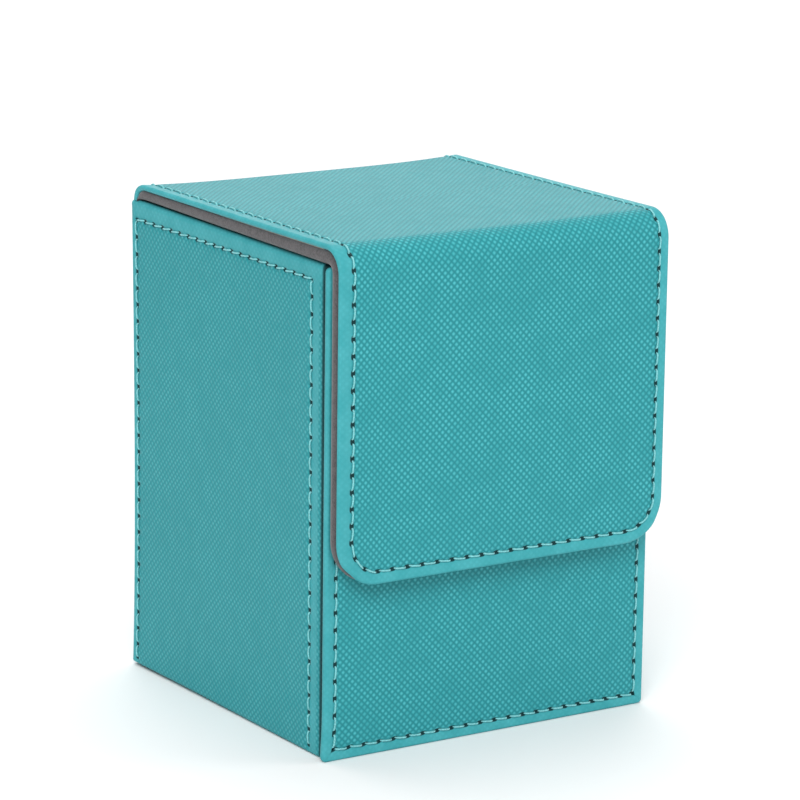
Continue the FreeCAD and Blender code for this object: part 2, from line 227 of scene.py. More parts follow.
def settled(points):
    """The finished box is not quite square: small lasting shifts, the same for every piece.

    The lid's rear left corner stands out, and so does the whole rear. The lid sags along its rear
    edge but not at the corners, and its front right corner is raised.
    """
    x, y, z = points.T
    rear = np.clip((y + 20) / 59, 0, 1)
    front = np.clip((38 - y) / 76, 0, 1)
    top = np.clip((z - 80) / 20, 0, 1) ** 2
    lid = np.clip((z - 97) / 4, 0, 1)
    left, right = np.clip(-x / HALF, 0, 1.1), np.clip(x / HALF, 0, 1.1)
    across = np.clip(np.abs(x) / HALF, 0, 1.1)
    outward = -0.5 * left * rear ** 2 * lid - 0.12 * right
    back = 0.5 * np.clip((y - 5) / 34, 0, 1.2) ** 1.5
    lift = top * rear ** 1.5 * (0.75 * across ** 4 - 0.4)
    lift = lift + 0.5 * top * right ** 2 * front
    return points + np.stack([outward, back, lift], 1)


class Sheet:
    """Collects the points, their texture values and the faces of one mesh.

    `grain` is where a point lies on the flat leather, with its distance from the edge, and the hole
    mark is how far it lies in a needle hole, with a painted crease shade added on the tray. The
    materials read both: from the hole mark they paint shade into the holes and the crease.
    """

    def __init__(self):
        self.points, self.grain, self.hole, self.quads, self.total = [], [], [], [], 0

    def add(self, points, grain, hole=None):
        """Add points; returns their numbers."""
        count = len(points)
        self.points.append(points)
        self.grain.append(grain)
        self.hole.append(np.zeros(count) if hole is None else hole)
        self.total += count
        return np.arange(self.total - count, self.total)

    def strip(self, first, second, closed=False):
        """Quads between two rows of points."""
        if closed:
            first, second = np.append(first, first[0]), np.append(second, second[0])
        self.quads.append(np.stack([first[:-1], first[1:], second[1:], second[:-1]], 1))

    def finish(self, name, material, smooth=50):
        """Weld the points that meet, cap what is open, and make the object."""
        weld = 2e-4
        points = np.concatenate(self.points)
        keys = np.round(points / weld).astype(np.int64)
        _, first, where = np.unique(keys, axis=0, return_index=True, return_inverse=True)
        faces = []
        for quad in where.ravel()[np.concatenate(self.quads)].tolist():
            corners = [v for n, v in enumerate(quad) if v != quad[n - 1]]
            if len(set(corners)) > 2:
                faces.append(corners)
        mesh = bpy.data.meshes.new(name)
        mesh.from_pydata((settled(points[first]) * MM).tolist(), [], faces)
        for label, kind, field, values in (("grain", "FLOAT_VECTOR", "vector", self.grain),
                                           ("hole", "FLOAT", "value", self.hole)):
            attribute = mesh.attributes.new(label, kind, "POINT")
            values = np.concatenate(values)[first].astype(np.float32)
            attribute.data.foreach_set(field, values.ravel())
        work = bmesh.new()
        work.from_mesh(mesh)
        open_edges = [e for e in work.edges if e.is_boundary]
        if open_edges:
            bmesh.ops.holes_fill(work, edges=open_edges, sides=0)
        bmesh.ops.recalc_face_normals(work, faces=work.faces)
        work.to_mesh(mesh)
        work.free()
        return new_object(name, mesh, material, smooth)


def new_object(name, mesh, material, smooth=50):
    mesh.shade_smooth()
    mesh.set_sharp_from_angle(angle=math.radians(smooth))
    mesh.materials.append(material)
    piece = bpy.data.objects.new(name, mesh)
    bpy.context.scene.collection.objects.link(piece)
    return piece


# -------------------------------------------------------------------- section shapes

SHOWN_EDGE, HIDDEN_EDGE = 0.6, 0.5    # how rounded a turned edge is at its two faces
EDGE_SWELL = 0.03


def quarter(count):
    """A quarter turn, in equal steps."""
    return [math.radians(turn) for turn in np.linspace(0, 90, count)]


def rounded_edge(thick):
    """A turned edge in section, from the hidden face to the shown one, as insets and depths."""
    section = [[HIDDEN_EDGE * (1 - math.sin(turn)), thick - HIDDEN_EDGE * (1 - math.cos(turn))]
               for turn in quarter(4)]
    section.append([-EDGE_SWELL, (thick - HIDDEN_EDGE + SHOWN_EDGE) / 2])
    section += [[SHOWN_EDGE * (1 - math.cos(turn)), SHOWN_EDGE * (1 - math.sin(turn))]
                for turn in quarter(7)]
    return section


def leather_section(thick, seam):
    """A wrapped board in section, as rows of inset, texture inset, depth and rise."""
    edge = rounded_edge(thick)
    face = [1.0, 1.4, 1.8, 2.1, 2.3, 2.45, 2.6, 2.75, 2.9, 3.1, 3.5, 4.2, 5.4, 7.2]
    face = [inset + (seam - SEAM) for inset in face] + [REACH]
    back = [REACH, 5.0, 2.0, 0.9]
    path = np.array([[inset, thick] for inset in back] + edge + [[inset, 0.0] for inset in face])
    walked = np.append(0, np.cumsum(np.linalg.norm(np.diff(path, axis=0), axis=1)))
    turned = len(back) + len(edge) - 1
    inset, depth = path.T
    texture = inset[turned] + walked - walked[turned]
    rise = np.where(depth < 1e-9, channel(inset - seam), 0)
    return np.stack([inset, texture, depth, rise], 1)


def channel(away):
    """How the leather is drawn down along a seam, by the distance from it."""
    return -0.09 * np.exp(-(away / 0.45) ** 2) - 0.05 * np.exp(-(away / 1.4) ** 2)


def leather_sheet(name, outline, place, material, thick=SKIN, warp=(None, None), relief=None):
    """A wrapped board or a turned strap: shown face, rounded edges, hidden face and caps.

    place(u, s, h) puts flat points, with h outwards from the shown face, round the box.
    """
    sheet = Sheet()
    marks = outline.holes()
    last = None

    def put(flat, texture, height, edge, hole=None):
        flat = warped(flat, *warp)
        lift = height + (relief(flat[:, 0], flat[:, 1]) if relief is not None else 0)
        grain = np.stack([texture[:, 0], texture[:, 1], np.full(len(flat), edge)], 1)
        return sheet.add(place(flat[:, 0], flat[:, 1], lift), grain, hole)

    for inset, texture_inset, depth, rise in leather_section(thick, outline.seam):
        runs, closed = outline.runs(inset)
        textures, _ = outline.runs(texture_inset)
        numbers = []
        for run, texture, mark in zip(runs, textures, marks):
            # The needle-hole mark dents the leather here, and the material paints shade into the
            # hole from it.
            hole = mark * math.exp(-((inset - outline.seam) / HOLE_WIDTH) ** 2) * (depth == 0)
            height = rise - depth - HOLE_DEPTH * hole
            numbers.append(put(run, texture, height, texture_inset, hole))
        if last is not None:
            for before, after in zip(last, numbers):
                sheet.strip(before, after, closed)
        last = numbers
    for depth in (0, thick):
        rows = [put(row, row, np.full(len(row), -depth), REACH) for row in outline.grid(REACH)]
        for before, after in zip(rows, rows[1:]):
            sheet.strip(before, after)
    return sheet.finish(name, material)


def thread_sheet(name, runs, place, material, warp=(None, None), seed=0):
    """A row of stitches: twisted thread that dives into the leather at both ends of a stitch."""
    rng = np.random.default_rng(seed)
    steps, sides = THREAD_STEPS, 8
    angles = np.linspace(0, 2 * math.pi, sides, endpoint=False)
    points, faces = [], []
    for run in runs:
        for start in range(0, len(run) - PER_STITCH, PER_STITCH):
            knots = warped(run[start:start + PER_STITCH + 1], *warp)
            known = np.append(STITCH_STEPS, 1)
            u, s = np.interp(steps, known, knots[:, 0]), np.interp(steps, known, knots[:, 1])
            lean = np.stack([-(knots[-1, 1] - knots[0, 1]), knots[-1, 0] - knots[0, 0]])
            slant = THREAD_LEAN + rng.normal(0, 0.07)
            lean = lean / np.linalg.norm(lean) * (0.5 - steps)[:, None] * slant
            u, s = u + lean[:, 0], s + lean[:, 1]
            lift = THREAD_HEIGHTS + rng.normal(0, 0.012)
            centre = place(u, s, lift)
            up = place(u, s, lift + 1) - centre
            ahead = np.gradient(centre, axis=0)
            ahead /= np.linalg.norm(ahead, axis=1)[:, None]
            across = np.cross(ahead, up)
            across /= np.linalg.norm(across, axis=1)[:, None]
            up = np.cross(across, ahead)
            twist = rng.uniform(0, math.pi)
            base = len(points) * sides
            for n, step in enumerate(steps):
                plies = np.cos(2 * angles - 2 * math.pi * step * 3 - twist)
                radius = THREAD_RADIUS * (1 + 0.13 * plies)
                points.append(centre[n] + np.cos(angles)[:, None] * across[n] * radius[:, None]
                              + np.sin(angles)[:, None] * up[n] * radius[:, None])
            for n in range(len(steps) - 1):
                for k in range(sides):
                    a, b = base + n * sides + k, base + n * sides + (k + 1) % sides
                    faces.append([a, b, b + sides, a + sides])
            faces.append([base + k for k in range(sides)][::-1])
            faces.append([base + (len(steps) - 1) * sides + k for k in range(sides)])
    mesh = bpy.data.meshes.new(name)
    mesh.from_pydata((settled(np.concatenate(points)) * MM).tolist(), [], faces)
    return new_object(name, mesh, material)


# ----------------------------------------------------------------- round the box

def wrap_place(u, s, h):
    """A point of the wrap: along it by s, and out from its face by h."""
    u, s, h = np.broadcast_arrays(u, s, h)
    front = (s - FRONT_START) / FRONT_BEND
    rear = (s - REAR_START) / REAR_BEND
    spans = [s < FRONT_START, s < FRONT_END, s < REAR_START, s < REAR_END]
    y = np.select(spans, [FACE_Y - h, FRONT_Y - (FRONT_BEND + h) * np.cos(front),
                          FRONT_Y + s - FRONT_END, REAR_Y + (REAR_BEND + h) * np.sin(rear)],
                  BACK_Y + h)
    z = np.select(spans, [FLAP_LOW[2] + s, FRONT_Z + (FRONT_BEND + h) * np.sin(front),
                          LID_Z + h, REAR_Z + (REAR_BEND + h) * np.cos(rear)],
                  REAR_Z - (s - REAR_END))
    return np.stack([u, y, z], -1)


NECK = 35.8                        # the strap's half width inside the back wall
NECK_START, NECK_TURN = 77, 10     # where on the bend it narrows, in degrees


def necked_place(u, s, h):
    """The wrap behind the lid: it narrows where it goes down between the tray's rear corners."""
    turn = np.degrees((s - REAR_START) / REAR_BEND)
    share = np.clip((turn - NECK_START) / NECK_TURN, 0, 1)
    narrow = 1 - (1 - NECK / HALF) * share * share * (3 - 2 * share)
    return wrap_place(u * narrow, s, h)


def shifted(place, offset):
    """The same placing for a sheet that starts further along the wrap."""
    return lambda u, s, h: place(u, s + offset, h)


def front_panel_place(u, s, h):
    """A point of the front panel. Its lower left corner stands out a little."""
    flare = 0.35 * np.exp(-(s / 5.0) ** 2) * np.exp(-((u + PANEL_HIGH[0]) / 6.0) ** 2)
    u, s, h = np.broadcast_arrays(u - flare, s, h)
    return np.stack([u, PANEL_LOW[1] - h, PANEL_LOW[2] + s], -1)


# ------------------------------------------------------------------------ materials

def colour(red, green, blue):
    """A screen colour, 0 to 255, as the linear one that the shader takes."""
    return [((v / 255 + 0.055) / 1.055) ** 2.4 for v in (red, green, blue)] + [1]


def shade(base, share, grey=0.0):
    """A darker or lighter colour: times a share, and with some grey added."""
    return [c * share + grey for c in base[:3]] + [1]


class Nodes:
    """Short names for the nodes of one material."""

    def __init__(self, name):
        self.material = bpy.data.materials.new(name)
        self.material.use_nodes = True
        self.tree = self.material.node_tree
        self.shader = self.tree.nodes["Principled BSDF"]

    def new(self, kind, **settings):
        node = self.tree.nodes.new(kind)
        for key, value in settings.items():
            setattr(node, key, value)
        return node

    def link(self, source, target):
        """Join an output to a socket, or give the socket a number or colour."""
        if isinstance(source, (int, float, list)):
            target.default_value = source
        else:
            self.tree.links.new(source, target)

    def surface(self):
        return self.new("ShaderNodeTexCoord").outputs["Object"]

    def math(self, operation, *inputs):
        node = self.new("ShaderNodeMath", operation=operation)
        for socket, value in zip(node.inputs, inputs):
            self.link(value, socket)
        return node.outputs[0]

    def attribute(self, name):
        return self.new("ShaderNodeAttribute", attribute_name=name)

    def split(self, vector):
        node = self.new("ShaderNodeSeparateXYZ")
        self.link(vector, node.inputs[0])
        return node.outputs

    def noise(self, vector, scale, detail=3.0, rough=0.55):
        node = self.new("ShaderNodeTexNoise")
        self.link(vector, node.inputs["Vector"])
        node.inputs["Scale"].default_value = scale
        node.inputs["Detail"].default_value = detail
        node.inputs["Roughness"].default_value = rough
        return node.outputs["Fac"]

    def mix(self, factor, first, second):
        node = self.new("ShaderNodeMix", data_type="RGBA")
        self.link(factor, node.inputs[0])
        self.link(first, node.inputs[6])
        self.link(second, node.inputs[7])
        return node.outputs[2]

    def remap(self, value, low, high, to_low=0.0, to_high=1.0):
        node = self.new("ShaderNodeMapRange", interpolation_type="SMOOTHSTEP")
        for socket, number in zip(node.inputs, (value, low, high, to_low, to_high)):
            self.link(number, socket)
        return node.outputs[0]

    def bump(self, height, strength, distance, normal=None):
        node = self.new("ShaderNodeBump")
        node.inputs["Strength"].default_value = strength
        node.inputs["Distance"].default_value = distance * MM
        self.link(height, node.inputs["Height"])
        if normal is not None:
            self.link(normal, node.inputs["Normal"])
        return node.outputs[0]


def lattice(nodes, u, s):
    """Raised lozenges between two families of grooves that cross at 45 degrees, 1 mm apart."""
    heights = []
    for sign in ("ADD", "SUBTRACT"):
        across = nodes.math("MULTIPLY", nodes.math(sign, u, s), math.pi / math.sqrt(2))
        heights.append(nodes.math("ABSOLUTE", nodes.math("SINE", across)))
    return nodes.math("MULTIPLY", *heights)


def leather(name, base, border=0.15, from_object=False, contrast=(0.72, 0.93, 1.4)):
    """Polyurethane leather: embossed lozenges, smoother along the border, and needle holes with
    painted shade.

    `border` is how much of the emboss is left outside the seam. `contrast` gives the colour factors
    of the grooves, darkened as painted shade, of the field, and of the raised tops, lightened and
    greyed as a painted highlight. A frame node has no grain of its own, so there the pattern lies
    in the object's own x and y.
    """
    nodes = Nodes(name)
    place = nodes.surface()
    if from_object:
        scaled = nodes.new("ShaderNodeVectorMath", operation="SCALE")
        nodes.link(place, scaled.inputs[0])
        scaled.inputs["Scale"].default_value = 1 / MM
        u, s, _ = nodes.split(scaled.outputs[0])
        inside, hole = 1.0, 0.0
    else:
        u, s, edge = nodes.split(nodes.attribute("grain").outputs["Vector"])
        inside = nodes.remap(edge, SEAM - 0.5, SEAM + 0.5, border, 1)
        hole = nodes.remap(nodes.attribute("hole").outputs["Fac"], 0.2, 0.5)
    pattern = lattice(nodes, u, s)
    fine = nodes.noise(place, 2600, 4)
    broad = nodes.noise(place, 38, 2)
    tone_and_highlight_noise = nodes.noise(place, 260, 3)
    groove, field, top = contrast
    # Painted shade: the lower the emboss pattern, the darker the grooves are painted.
    tone = nodes.mix(nodes.remap(pattern, 0.0, 0.4), shade(base, groove), shade(base, field))
    # Painted highlight: the raised tops are painted lighter and greyer, unevenly along a noise.
    painted_highlight = nodes.math("MULTIPLY", nodes.remap(pattern, 0.4, 1.0),
                        nodes.remap(tone_and_highlight_noise, 0.3, 0.65, 0.45, 1.0))
    tone = nodes.mix(painted_highlight, tone, shade(base, top, 0.045))
    plain = nodes.mix(nodes.remap(tone_and_highlight_noise, 0.3, 0.7), shade(base, 1.1, 0.02), shade(base, 1.2, 0.04))
    tone = nodes.mix(inside, plain, tone)
    tone = nodes.mix(nodes.remap(broad, 0.3, 0.7, 0, 0.16), tone, shade(base, 0.8))
    # Painted shade in the needle holes, and on the tray also in the crease at its front corners.
    tone = nodes.mix(nodes.math("MULTIPLY", hole, 0.97), tone, shade(base, 0.09))
    nodes.link(tone, nodes.shader.inputs["Base Color"])
    nodes.link(nodes.remap(fine, 0.3, 0.7, 0.42, 0.54), nodes.shader.inputs["Roughness"])
    nodes.shader.inputs["Specular IOR Level"].default_value = 0.17
    raised = nodes.math("MULTIPLY", pattern, inside)
    grained = nodes.bump(fine, 0.35, 0.05)
    nodes.link(nodes.bump(raised, 0.6, 0.12, grained), nodes.shader.inputs["Normal"])
    return nodes.material


def suede(name, base):
    """Brushed microfibre: short nap with a soft sheen and faint brush marks."""
    nodes = Nodes(name)
    place = nodes.surface()
    nap = nodes.noise(place, 3200, 5, 0.7)
    clumps = nodes.noise(place, 700, 4, 0.65)
    brushed = nodes.noise(place, 90, 3)
    tone = nodes.mix(nodes.remap(nap, 0.3, 0.72), shade(base, 0.4), shade(base, 1.7))
    tone = nodes.mix(nodes.remap(clumps, 0.4, 0.65, 0, 0.55), tone, shade(base, 1.6))
    tone = nodes.mix(nodes.remap(brushed, 0.35, 0.65, 0, 0.3), tone, shade(base, 0.75))
    nodes.link(tone, nodes.shader.inputs["Base Color"])
    nodes.shader.inputs["Roughness"].default_value = 0.95
    nodes.shader.inputs["Specular IOR Level"].default_value = 0.2
    nodes.shader.inputs["Sheen Weight"].default_value = 0.35
    nodes.shader.inputs["Sheen Roughness"].default_value = 0.5
    first = nodes.bump(clumps, 0.4, 0.12)
    nodes.link(nodes.bump(nap, 0.7, 0.08, first), nodes.shader.inputs["Normal"])
    return nodes.material


def yarn(name, base):
    """Bonded sewing thread: fine fibres and a slight shine."""
    nodes = Nodes(name)
    fibres = nodes.noise(nodes.surface(), 4200, 4, 0.6)
    tone = nodes.mix(nodes.remap(fibres, 0.3, 0.7), shade(base, 0.75), shade(base, 1.2))
    nodes.link(tone, nodes.shader.inputs["Base Color"])
    nodes.shader.inputs["Roughness"].default_value = 0.5
    nodes.shader.inputs["Sheen Weight"].default_value = 0.2
    nodes.link(nodes.bump(fibres, 0.5, 0.04), nodes.shader.inputs["Normal"])
    return nodes.material


def speckled(name, base, scale, rough, metallic=0.0):
    """Board, foam or plating: mottled, with a fine surface."""
    nodes = Nodes(name)
    spots = nodes.noise(nodes.surface(), scale, 5, 0.65)
    tone = nodes.mix(nodes.remap(spots, 0.3, 0.7), shade(base, 0.8), shade(base, 1.15))
    nodes.link(tone, nodes.shader.inputs["Base Color"])
    nodes.link(nodes.remap(spots, 0.3, 0.7, rough * 0.85, rough), nodes.shader.inputs["Roughness"])
    nodes.shader.inputs["Metallic"].default_value = metallic
    nodes.link(nodes.bump(spots, 0.3, 0.05), nodes.shader.inputs["Normal"])
    return nodes.material


TEAL = colour(47, 153, 160)
# Each leather paints shade into its grooves and a highlight on its raised tops, and the sewn ones
# paint shade into their needle holes; the tray's copy paints groove shade and highlight more
# weakly.
LEATHER = leather("teal_leather", TEAL)
TRAY_LEATHER = leather("tray_leather", TEAL, border=0.3, contrast=(0.82, 0.95, 1.2))
BASE_LEATHER = leather("base_leather", TEAL, from_object=True)
SUEDE = suede("grey_microfibre", colour(72, 69, 71))
THREAD = yarn("teal_thread", colour(122, 203, 206))
BOARD = speckled("greyboard", colour(150, 145, 136), 900, 0.9)
FOAM = speckled("foam", colour(70, 70, 72), 2400, 0.95)
PLATING = speckled("nickel_plating", colour(200, 200, 198), 300, 0.3, 1.0)


# ------------------------------------------------------------- the wrap, four pieces

def undulation(u, s):
    """The leather is never quite flat over its board."""
    fade = np.clip((HALF - np.abs(u) - SEAM) / 6, 0, 1)
    return fade * 0.05 * np.sin(u * 0.11 + 0.6) * np.sin(s * 0.085 + 0.3)


WRAP_WARP = (3.15, 2.3)    # its left and right seams are not the same distance from the edge
FLAT_COLUMNS = stitched(2 * (HALF - FLAP_CORNER))


def strap(start, end):
    """A piece of the wrap that goes on in another at both ends."""
    return Outline(HALF, end - start, 0, low=False, columns=FLAT_COLUMNS)


def crossing(a, b, split, toward, reach):
    """Where a piece turns between two bodies: from the middle of a bend towards one side of it."""
    start = wrap_place(0.0, split, -SKIN / 2)
    ahead = wrap_place(0.0, split + 0.01 * toward, -SKIN / 2) - start
    ahead /= np.linalg.norm(ahead)
    end = start + ahead * reach
    return a, b, tuple((start * MM).tolist()), tuple((end * MM).tolist())


FRONT_REACH = (FRONT_BEND - SKIN / 3) * math.sin(math.pi / 4)
REAR_REACH = (REAR_BEND - SKIN / 3) * math.sin(math.pi / 4)
WRAP = {
    "flap": crossing("front_hinge", "flap", SPLITS[0], -1, FRONT_REACH),
    "lid_front": crossing("front_hinge", "lid", SPLITS[0], 1, FRONT_REACH),
    "lid_rear": crossing("rear_hinge", "lid", SPLITS[2], -1, REAR_REACH),
    "back": crossing("rear_hinge", "box", SPLITS[2], 1, REAR_REACH),
}
WRAP_PIECES = {
    "flap": (Outline(HALF, SPLITS[0], FLAP_CORNER), wrap_place,
             ("flap_cover", "front_hinge_cover")),
    "lid_front": (strap(*SPLITS[:2]), shifted(wrap_place, SPLITS[0]),
                  ("lid_cover", "front_hinge_cover")),
    "lid_rear": (strap(*SPLITS[1:]), shifted(wrap_place, SPLITS[1]),
                 ("lid_cover", "rear_hinge_cover")),
    "back": (strap(SPLITS[2], WRAP_END), shifted(necked_place, SPLITS[2]), ("rear_hinge_cover",)),
}
THREAD_NODES = {"flap": ("flap_thread",), "lid_front": ("lid_thread",), "lid_rear": (), "back": ()}
for number, (part, (outline, place, nodes)) in enumerate(WRAP_PIECES.items()):
    cover = leather_sheet(f"{part}_leather", outline, place, LEATHER, warp=WRAP_WARP,
                          relief=undulation if part == "flap" else None)
    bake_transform(cover)
    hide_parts(*nodes)
    thread = thread_sheet(f"{part}_stitching", outline.seam_runs(), place, THREAD, WRAP_WARP,
                          seed=number)
    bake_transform(thread)
    if THREAD_NODES[part]:
        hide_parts(*THREAD_NODES[part])


# ---------------------------------------------------------------- padding of the lid

PANEL_GAP = 0.55    # between the flap's padding and the front panel
PAD_EDGE_SHOWN, PAD_EDGE_HIDDEN = 1.0, 0.6
PAD_POWER = 2.1     # how square its rounded edge is
PAD_CROWN = 0.16
PAD_THINNEST = 0.12
PAD_OVERLAP = 0.02  # how far it reaches into the leather


def padding_thickness(s):
    """The padding's thickness along the wrap: thinner on the flap, and run out at the back."""
    flap, lid = PANEL_LOW[1] - PANEL_GAP - FACE_Y - SKIN, LID_Z - SKIN - PAD_LOW[2]
    round_front = np.clip((s - FRONT_START) / (FRONT_END - FRONT_START), 0, 1)
    blend = round_front * round_front * (3 - 2 * round_front)
    turn = np.clip((s - REAR_START) / REAR_BEND, 0, math.radians(88))
    lid = lid - RIM_RISE * np.clip((s - FRONT_END) / (REAR_START - FRONT_END), 0, 1)
    left = REAR_BEND - SKIN - (REAR_BEND - SKIN - lid) / np.cos(turn)
    return np.where(s < REAR_START, flap + (lid - flap) * blend, np.maximum(left, PAD_THINNEST))


def pad_sheet(name, outline, offset):
    """Foam-backed microfibre: a soft rounded edge, and a face that swells between its edges.

    Its section is rows of inset and share, with the share 0 at the leather and 1 at the face.
    """
    sheet = Sheet()
    place = shifted(wrap_place, offset)
    section = [(inset, 0.0) for inset in (REACH, 3.0, 1.2)]
    for share in np.linspace(0, 1, 13):
        bulge = 1 - (1 - abs(2 * share - 1) ** PAD_POWER) ** (1 / PAD_POWER)
        section.append(((PAD_EDGE_HIDDEN if share < 0.5 else PAD_EDGE_SHOWN) * bulge, share))
    section += [(inset, 1.0) for inset in (1.5, 2.4, 3.8, 5.6, 7.4, REACH)]

    def put(flat, inset, share):
        u, s = flat[:, 0], flat[:, 1]
        thick = padding_thickness(s + offset)
        swell = PAD_CROWN * (1 - math.exp(-max(inset - 0.5, 0) / 2.2)) * share
        soft = 0.06 * np.sin(u * 0.31 + s * 0.12) * np.sin(s * 0.23 + 1) * share * (inset > 1)
        height = -SKIN + PAD_OVERLAP - share * thick - np.minimum(swell, thick * 0.2) - soft
        grain = np.stack([u, s, np.full(len(u), inset)], 1)
        return sheet.add(place(u, s, height), grain)

    last = None
    for inset, share in section:
        runs, closed = outline.runs(inset)
        numbers = [put(run, inset, share) for run in runs]
        if last is not None:
            for before, after in zip(last, numbers):
                sheet.strip(before, after, closed)
        last = numbers
    for share in (0.0, 1.0):
        rows = [put(row, REACH, share) for row in outline.grid(REACH)]
        for before, after in zip(rows, rows[1:]):
            sheet.strip(before, after)
    return sheet.finish(name, SUEDE, 70)


PAD_HALF = PAD_HIGH[0]
PAD_INSET = HALF - PAD_HALF
PAD_COLUMNS = np.linspace(0, 1, 61)
PAD_ROW = 0.7       # between its rows of points
PAD_TIP = REAR_START + REAR_BEND * math.radians(82)
PADS = {
    "flap": (PAD_INSET, SPLITS[0], True, ("flap_lining", "flap_foam"), "flap"),
    "lid_front": (SPLITS[0], SPLITS[1], False, ("lid_lining", "lid_foam", "front_hinge_lining"),
                  "lid_front"),
    "lid_rear": (SPLITS[1], SPLITS[2], False, ("lid_lining", "rear_hinge_lining"), "lid_rear"),
    "rear_tip": (SPLITS[2], PAD_TIP, False, ("rear_hinge_lining",), "back"),
}
for part, (start, end, low, nodes, joint) in PADS.items():
    steps = max(8, round((end - start) / PAD_ROW))
    outline = Outline(PAD_HALF, end - start, FLAP_CORNER - PAD_INSET if low else 0, low=low,
                      columns=PAD_COLUMNS, rows=np.linspace(0, 1, steps))
    pad = pad_sheet(f"{part}_padding", outline, start)
    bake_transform(pad)
    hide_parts(*nodes)


# ------------------------------------------------------------------- the front panel

PANEL_CORNER, PANEL_SEAM = 1.0, 2.3
panel_outline = Outline(PANEL_HIGH[0], PANEL_HIGH[2] - PANEL_LOW[2], PANEL_CORNER, high=True,
                        seam=PANEL_SEAM)
panel = leather_sheet("front_panel_leather", panel_outline, front_panel_place, LEATHER,
                      thick=PANEL_HIGH[1] - PANEL_LOW[1])
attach(panel, "box")
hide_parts("front_panel_cover")
thread = thread_sheet("front_panel_stitching", panel_outline.seam_runs(), front_panel_place,
                      THREAD, seed=7)
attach(thread, "box")
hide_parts("front_panel_thread")


# -------------------------------------------------------------------------- the tray

TRAY_HALF, TRAY_FRONT, TRAY_BACK = -SIDE_LOW[0], SIDE_LOW[1], SIDE_HIGH[1]
TRAY_TOP, TRAY_BOTTOM = SIDE_HIGH[2], SIDE_LOW[2]
LEATHER_BACK = TRAY_BACK + 0.4
LINING_BACK = TRAY_BACK - 1.2
STRAP_FRONT = BACK_Y - SKIN
BACK_RIM = 96.7                          # the rim behind the lid is lower than the others
FRONT_CORNER, REAR_CORNER, LINING_CORNER = 2.6, 1.2, 3.6
RIM_ROUND = 1.15
FOLD = 2.42                              # from the tray's face to the hidden side of its rim

# Each side has an arch of stitches, up its front, along its top and down its rear. These are its
# points, as depths from front to back and as heights.
SIDE_SEAM_FRONT, SIDE_SEAM_REAR = TRAY_FRONT + 5.6, LEATHER_BACK - 2.3
SIDE_SEAM_FOOT, SIDE_SEAM_TOP = 1.4, TRAY_TOP - 3.5
ARCH_Y = SIDE_SEAM_FRONT + (stitched(SIDE_SEAM_REAR - SIDE_SEAM_FRONT)
                            * (SIDE_SEAM_REAR - SIDE_SEAM_FRONT))
ARCH_Z = SIDE_SEAM_FOOT + (stitched(SIDE_SEAM_TOP - SIDE_SEAM_FOOT)
                           * (SIDE_SEAM_TOP - SIDE_SEAM_FOOT))
BESIDE_SEAM = np.array([0.18, 0.35, 0.6, 1.0])    # lines of points at these distances from it


def rounded(values):
    """Numbers that can be looked up, whatever their last digits."""
    return [round(float(v), 4) for v in values]


def side_columns():
    """Where the tray's upright lines of points are along its sides, from front to back."""
    before = np.linspace(TRAY_FRONT + FRONT_CORNER, SIDE_SEAM_FRONT - 1.4, 4)
    inside = [SIDE_SEAM_FRONT + BESIDE_SEAM[0], SIDE_SEAM_REAR - BESIDE_SEAM[0]]
    return np.sort(np.concatenate([before, SIDE_SEAM_FRONT - BESIDE_SEAM, inside, ARCH_Y,
                                   SIDE_SEAM_REAR + BESIDE_SEAM[:3]]))


def tray_ring(front_corner, rear_corner, rear):
    """The tray's outline, from the front's middle to the left and all round.

    Each row is a point's x and y, its outward normal, the radius of its corner or 0, and -1 or 1
    on the left or right side and its corners. A corner's point is the corner's centre.
    """
    steps = []

    def line(points, normal, side):
        for x, y in points:
            steps.append((x, y, *normal, 0.0, side))

    def corner(x, y, radius, start, side, count=9):
        for turn in np.linspace(start, start - math.pi / 2, count)[1:-1]:
            steps.append((x, y, math.cos(turn), math.sin(turn), radius, side))

    left = side_columns()
    flat = TRAY_HALF - front_corner
    back = TRAY_HALF - rear_corner
    line([(x, TRAY_FRONT) for x in -np.linspace(0, flat, 12)], (0, -1), 0)
    corner(-flat, TRAY_FRONT + front_corner, front_corner, -math.pi / 2, -1)
    line([(-TRAY_HALF, y) for y in left], (-1, 0), -1)
    corner(-back, rear - rear_corner, rear_corner, math.pi, -1)
    line([(x, rear) for x in np.linspace(-back, back, 24)], (0, 1), 0)
    corner(back, rear - rear_corner, rear_corner, math.pi / 2, 1)
    line([(TRAY_HALF, y) for y in left[::-1]], (1, 0), 1)
    corner(flat, TRAY_FRONT + front_corner, front_corner, 0, 1)
    line([(x, TRAY_FRONT) for x in np.linspace(flat, 0, 12)[:-1]], (0, -1), 0)
    return np.array(steps)


def inset_ring(ring, inset, rear):
    """The outline moved inwards, with its corners kept square once their radius is used up."""
    x, y, across, along, radius, _ = ring.T
    reach = np.where(radius > 0, np.maximum(radius - inset, 0), -inset)
    x = np.clip(x + across * reach, -TRAY_HALF + inset, TRAY_HALF - inset)
    y = np.clip(y + along * reach, TRAY_FRONT + inset, rear - inset)
    return x, y


def tray_depth(y):
    """0 at the tray's front, 1 at its back."""
    return np.clip((y - TRAY_FRONT) / (LEATHER_BACK - TRAY_FRONT), 0, 1)


def side_lift(z, y):
    """How far a side wall is raised: its rim climbs to the back, and so does its rounded foot."""
    rim = RIM_RISE * np.clip((z - 70) / 27, 0, 1) ** 4
    foot = 0.55 * np.clip(1 - z / 3.5, 0, 1)
    return (rim + foot) * tray_depth(y)


def wall_bow(z, y):
    """How far a side wall is drawn in, which is less to the back and at its top and foot there."""
    depth = tray_depth(y)
    share = np.clip((z - TRAY_BOTTOM) / (TRAY_TOP - TRAY_BOTTOM), 0, 1)
    flare = 0.55 * share ** 2.6 + 0.6 * (1 - share) ** 5
    return 0.2 - 0.45 * depth - flare * depth ** 3


